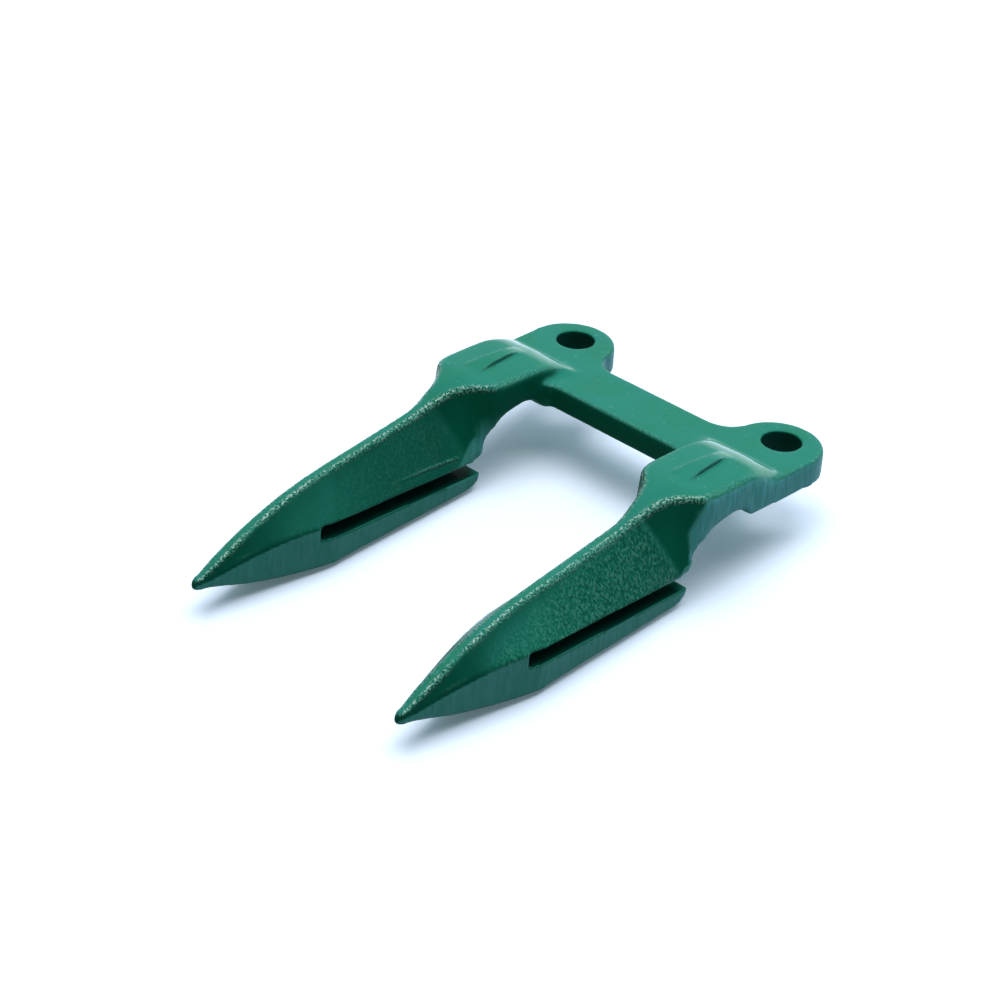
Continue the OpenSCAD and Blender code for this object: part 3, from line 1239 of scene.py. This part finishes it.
@dataclass(frozen=True)
class Forging:
    """The guard itself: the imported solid, rounded, worked and painted."""

    node: str = "knife_guard"
    body: str = "root"
    slot: str = "green_paint"
    most_triangles: int = 194000
    rib_top: float = 13.48 * MM
    swell: Relief = Relief(0.04, 120.0)
    bumps: Relief = Relief(0.08, 800.0, 0.5)
    lines: Relief = Relief(0.02, 700.0, 0.12)
    rag: Relief = Relief(0.06, 1000.0)
    shaper: Shaper = field(default_factory=Shaper)
    marker: ZoneMarker = field(default_factory=ZoneMarker)
    flash: FlashLine = field(default_factory=FlashLine)
    finish: GreenEnamel = field(default_factory=GreenEnamel)

    def build(self, frame: Dict[str, object]) -> None:
        """Makes and dresses the forging, hangs it on its body and hides the imported solid.
        """
        piece = self.shaper.rounded_copy(frame["nodes"][self.node])
        self.marker.mark(piece.data)
        self.work_surface(piece.data)
        self.thin_out(piece)
        piece.data.polygons.foreach_set("use_smooth", [True] * len(piece.data.polygons))
        piece.data.materials.append(self.finish.build("green_enamel"))
        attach(piece, self.body)
        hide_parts(self.node)
        LOG.info("%s: %d triangles", piece.name, self.triangles(piece.data))

    def work_surface(self, mesh: bpy.types.Mesh) -> None:
        """Gives the skin its forged unevenness, peened sides and trimmed lines.

        Args:
            mesh: Mesh of the forging, with its zones marked.
        """
        bm = bmesh.new()
        bm.from_mesh(mesh)
        bm.normal_update()
        layers = {zone: bm.verts.layers.float[zone.value] for zone in Zone}
        for vert in bm.verts:
            at = vert.co.copy()
            lift = self.swell.at(at)
            lift += self.bumps.at(at) * vert[layers[Zone.PEEN]]
            lift += self.lines.at(at) * vert[layers[Zone.TRIM]]
            lift += self.rag.at(at) * vert[layers[Zone.EDGE]] + self.flash.lift * self.flash.share(vert)
            vert.co += vert.normal * (lift * MM)
            vert.co.z = min(vert.co.z, self.rib_top)
        bm.to_mesh(mesh)
        bm.free()

    def thin_out(self, piece: bpy.types.Object) -> None:
        """Collapses edges on even stretches until the mesh has the triangles that it may have.

        Args:
            piece: The forging, with its zones marked and its skin worked.
        """
        thinner = piece.modifiers.new("thin_out", "DECIMATE")
        thinner.ratio = min(1.0, self.most_triangles / self.triangles(piece.data))
        graph = bpy.context.evaluated_depsgraph_get()
        thinned = bpy.data.meshes.new_from_object(piece.evaluated_get(graph))
        piece.modifiers.clear()
        piece.data = thinned
        thinned.name = "forging"

    @staticmethod
    def triangles(mesh: bpy.types.Mesh) -> int:
        """Counts the triangles that a mesh's faces make.

        Args:
            mesh: Mesh to count.

        Returns:
            The number of triangles.
        """
        return sum(len(face.vertices) - 2 for face in mesh.polygons)


@dataclass(frozen=True)
class SoftLight:
    """One square soft light: where it hangs, the length of its side, its watts and its tint."""

    name: str
    at: Triple
    size: float
    power: float
    tint: Triple


@dataclass(frozen=True)
class Studio:
    """White floor, white surroundings, soft light from above and the camera."""

    floor_at: Triple = (0.0, -47.5 * MM, -19.5 * MM)
    floor_tilt: float = math.radians(4.6)
    floor_half: float = 2.5
    azimuth: float = math.radians(42.99)
    elevation: float = math.radians(31.05)
    roll: float = math.radians(3.6)
    station: Triple = (0.36624, -0.46135, 0.32140)
    lens: float = 86.06
    sensor: float = 36.0
    clip: float = 0.01
    bright_way: Triple = (-0.35, 0.66, 0.66)
    bright_band: Span = (0.45, 0.95)
    room_front: Colour = (0.02, 0.024, 0.028, 1.0)
    room_back: Colour = (0.85, 0.95, 0.98, 1.0)
    white: Colour = (1.0, 1.0, 1.0, 1.0)
    lit: Triple = (0.0, -0.065, 0.0)
    overhead: SoftLight = SoftLight("overhead", (0.06, -0.13, 2.2), 1.9, 46.0, (1.0, 0.94, 0.88))
    right_side: SoftLight = SoftLight("right_side", (1.5, 0.7, 0.75), 1.0, 2.5, (0.60, 0.84, 1.0))
    floor_finish: PaleFloor = field(default_factory=PaleFloor)

    def build(self) -> None:
        """Sets up everything round the object."""
        self.lay_floor()
        self.set_world()
        self.hang_light(self.overhead)
        self.hang_light(self.right_side)
        self.set_camera()

    def lay_floor(self) -> None:
        """Lays the floor, tilted as the guard lies on it, about a millimetre below the tongues."""
        bm = bmesh.new()
        lie = Matrix.Translation(self.floor_at) @ Matrix.Rotation(self.floor_tilt, 4, "X")
        bmesh.ops.create_grid(bm, x_segments=1, y_segments=1, size=self.floor_half, matrix=lie)
        mesh = bpy.data.meshes.new("floor")
        bm.to_mesh(mesh)
        bm.free()
        floor = bpy.data.objects.new("floor", mesh)
        bpy.context.scene.collection.objects.link(floor)
        mesh.materials.append(self.floor_finish.build("pale_floor"))
        LOG.info("floor laid")

    def set_world(self) -> None:
        """White to the camera, with a dim room in front of the object and a pale one behind it."""
        world = bpy.data.worlds.new("studio")
        bpy.context.scene.world = world
        world.use_nodes = True
        graph = Graph(world.node_tree)
        way = graph.node("ShaderNodeTexCoord").outputs["Generated"]
        facing = graph.node("ShaderNodeVectorMath", {0: way, 1: self.bright_way}, operation="DOT_PRODUCT")
        share = graph.band(facing.outputs["Value"], self.bright_band)
        room = graph.mix(share, self.room_front, self.room_back)
        seen = graph.mix(graph.sees_white(), room, self.white)
        light = graph.node("ShaderNodeBackground", {"Color": seen})
        out = graph.node("ShaderNodeOutputWorld")
        graph.put(out.inputs["Surface"], light.outputs[0])
        LOG.info("world set")

    def hang_light(self, soft: SoftLight) -> None:
        """Hangs one light and turns it to the object.

        Args:
            soft: What the light is like.
        """
        data = bpy.data.lights.new(soft.name, "AREA")
        data.shape = "SQUARE"
        data.size = soft.size
        data.energy = soft.power
        data.color = soft.tint
        light = bpy.data.objects.new(soft.name, data)
        bpy.context.scene.collection.objects.link(light)
        aim = Vector(self.lit) - Vector(soft.at)
        light.rotation_euler = aim.to_track_quat("-Z", "Y").to_euler()
        light.location = soft.at
        LOG.info("light %s", soft.name)

    def set_camera(self) -> None:
        """Places the camera where the photograph was taken from."""
        data = bpy.data.cameras.new("camera")
        data.lens = self.lens
        data.sensor_width = self.sensor
        data.clip_start = self.clip
        camera = bpy.data.objects.new("camera", data)
        bpy.context.scene.collection.objects.link(camera)
        level = math.cos(self.elevation)
        back_x = math.sin(self.azimuth) * level
        back_y = -math.cos(self.azimuth) * level
        back = Vector((back_x, back_y, math.sin(self.elevation)))
        right = Vector((math.cos(self.azimuth), math.sin(self.azimuth), 0.0))
        up = back.cross(right)
        across = right * math.cos(self.roll) + up * math.sin(self.roll)
        upward = up * math.cos(self.roll) - right * math.sin(self.roll)
        turn = Matrix((across, upward, back)).transposed().to_4x4()
        camera.matrix_world = Matrix.Translation(self.station) @ turn
        bpy.context.scene.camera = camera
        LOG.info("camera placed")


def main() -> None:
    """Builds the guard and its studio, and logs the forging's triangle count."""
    logging.basicConfig(level=logging.INFO)
    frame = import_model()
    scene = bpy.context.scene
    scene.view_settings.view_transform = "Standard"
    Forging().build(frame)
    Studio().build()


if __name__ == "__main__":
    main()
